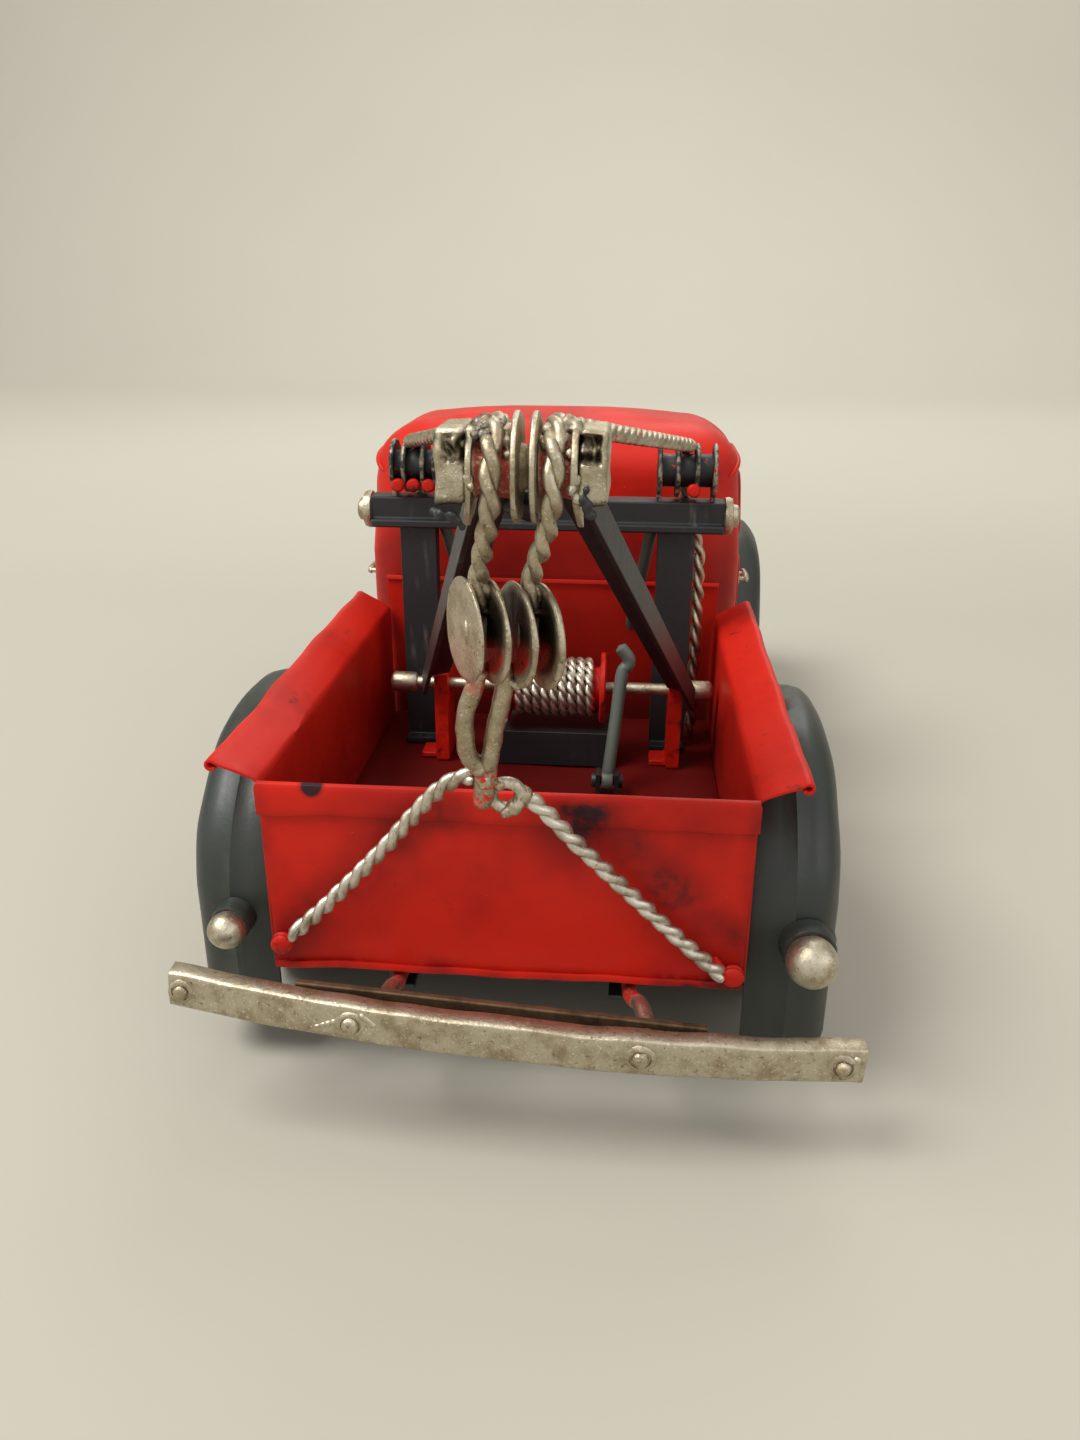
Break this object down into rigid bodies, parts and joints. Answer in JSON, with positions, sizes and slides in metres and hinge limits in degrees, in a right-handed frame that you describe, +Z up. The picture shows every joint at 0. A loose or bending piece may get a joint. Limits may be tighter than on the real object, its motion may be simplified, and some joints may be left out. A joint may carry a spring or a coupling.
{
  "type": "toy tow truck",
  "caption": "Tinplate toy tow truck with rolling wheels, an open load bed, and a twin-boom rear crane with gantry, rope winch, pulley blocks, tow hook and tie chains.",
  "frame": {"origin": "on the ground under the middle of the truck's bounding box", "axes": "+Z up, +Y towards the bonnet along the truck's length, +X to the truck's right seen from behind"},
  "size_m": [0.079, 0.176, 0.0776],
  "materials": {
    "red_paint": "semi-gloss brushed-on enamel",
    "dark_paint": "semi-gloss grey-green black",
    "black_paint": "satin black",
    "nickel": "aged plating, fine grain",
    "bright_wire": "twisted wire, soft shine",
    "bare_steel": "dull brownish steel",
    "lever_paint": "satin grey-green",
    "tyre_rubber": "matte black rubber",
    "seat_hide": "dark brown moulded seat",
    "lamp_glass": "clear domed"
  },
  "bodies": {
    "truck": {"chassis_frame": "dark_paint", "bed_floor": "red_paint", "bed_side_left": "red_paint", "bed_side_right": "red_paint", "headboard": "red_paint", "tailgate": "red_paint", "rear_fender_left": "dark_paint", "rear_fender_right": "dark_paint", "running_boards": "dark_paint", "cab_shell": "red_paint", "door_panels": "red_paint", "door_handles": "nickel", "seat": "seat_hide", "steering_wheel": "black_paint", "bonnet": "red_paint", "front_fender_left": "dark_paint", "front_fender_right": "dark_paint", "grille": "nickel", "headlamp_shells": "dark_paint", "headlamp_rims": "nickel", "headlamp_lenses": "lamp_glass", "front_bumper": "nickel", "rear_bumper": "nickel", "bumper_backing_bar": "bare_steel", "bumper_wire_irons": "nickel", "bolt_heads": "nickel", "tail_lamp_cups": "dark_paint", "tail_lamp_balls": "nickel", "axles": "bare_steel", "gantry_posts": "black_paint", "gantry_bar": "black_paint", "gantry_end_caps": "nickel", "gantry_stays": "black_paint", "sheaves_left": "black_paint", "sheaves_right": "black_paint", "boom_feet": "red_paint", "winch_base": "black_paint", "lever_bracket": "black_paint", "boom_left": "black_paint", "boom_right": "black_paint", "head_blocks": "nickel", "head_spool": "nickel", "rope_left": "nickel", "rope_right": "nickel", "lower_blocks": "nickel", "tow_hook": "nickel", "tie_chains": "bright_wire", "chain_rivets": "red_paint"},
    "spin_rear_left": {"tyre_rear_left": "tyre_rubber", "wheel_rear_left": "red_paint"},
    "spin_rear_right": {"tyre_rear_right": "tyre_rubber", "wheel_rear_right": "red_paint"},
    "spin_front_left": {"tyre_front_left": "tyre_rubber", "wheel_front_left": "red_paint"},
    "spin_front_right": {"tyre_front_right": "tyre_rubber", "wheel_front_right": "red_paint"},
    "winch": {"winch_shaft": "nickel", "winch_drum": "red_paint", "wound_rope": "bright_wire"},
    "lever": {"hand_lever": "lever_paint"}
  },
  "joints": [
    {"name": "rear_left_wheel_spin", "type": "hinge", "parent": "truck", "child": "spin_rear_left", "pos_m": [-0.0314, -0.046, 0.0125], "axis": [1, 0, 0], "continuous": true},
    {"name": "rear_right_wheel_spin", "type": "hinge", "parent": "truck", "child": "spin_rear_right", "pos_m": [0.0314, -0.046, 0.0125], "axis": [1, 0, 0], "continuous": true},
    {"name": "front_left_wheel_spin", "type": "hinge", "parent": "truck", "child": "spin_front_left", "pos_m": [-0.0314, 0.057, 0.0125], "axis": [1, 0, 0], "continuous": true},
    {"name": "front_right_wheel_spin", "type": "hinge", "parent": "truck", "child": "spin_front_right", "pos_m": [0.0314, 0.057, 0.0125], "axis": [1, 0, 0], "continuous": true},
    {"name": "winch_turn", "type": "hinge", "parent": "truck", "child": "winch", "pos_m": [0.002, -0.021, 0.0314], "axis": [1, 0, 0], "continuous": true},
    {"name": "lever_swing", "type": "hinge", "parent": "truck", "child": "lever", "pos_m": [0.0102, -0.033, 0.0219], "axis": [1, 0, 0], "range_deg": [0, 28]}
  ]
}
